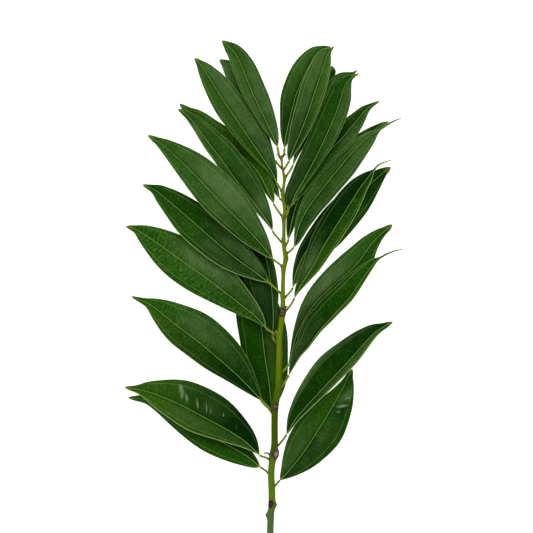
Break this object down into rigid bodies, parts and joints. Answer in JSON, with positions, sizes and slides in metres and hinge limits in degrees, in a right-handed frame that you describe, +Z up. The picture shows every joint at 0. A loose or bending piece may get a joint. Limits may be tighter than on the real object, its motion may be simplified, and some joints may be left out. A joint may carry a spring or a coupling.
{
  "type": "leafy cut branch",
  "caption": "Cut evergreen branch lying flat: a slender green stem with long pointed three-nerved leaves on short stalks along both sides.",
  "frame": {"origin": "on the surface it lies on, under the middle of its outline", "axes": "+Y from the stem's cut end towards its tip, +Z up from the surface, +X to the right when it is seen from above with the tip away"},
  "size_m": [0.251, 0.4542, 0.0316],
  "materials": {
    "stem": "smooth young green bark, satin",
    "leaf": "leathery evergreen leaf, satin with a waxy sheen"
  },
  "bodies": {
    "root": {"stem": "stem", "leaf_left_01": "leaf", "leaf_left_02": "leaf", "leaf_left_03": "leaf", "leaf_left_04": "leaf", "leaf_left_05": "leaf", "leaf_left_06": "leaf", "leaf_left_07": "leaf", "leaf_left_08": "leaf", "leaf_left_09": "leaf", "leaf_left_10": "leaf", "leaf_left_11": "leaf", "leaf_left_12": "leaf", "leaf_left_13": "leaf", "leaf_left_14": "leaf", "leaf_right_01": "leaf", "leaf_right_02": "leaf", "leaf_right_03": "leaf", "leaf_right_04": "leaf", "leaf_right_05": "leaf", "leaf_right_06": "leaf", "leaf_right_07": "leaf", "leaf_right_08": "leaf", "leaf_right_09": "leaf", "leaf_right_10": "leaf", "leaf_right_11": "leaf", "leaf_right_12": "leaf", "leaf_right_13": "leaf", "leaf_right_14": "leaf"}
  },
  "joints": []
}
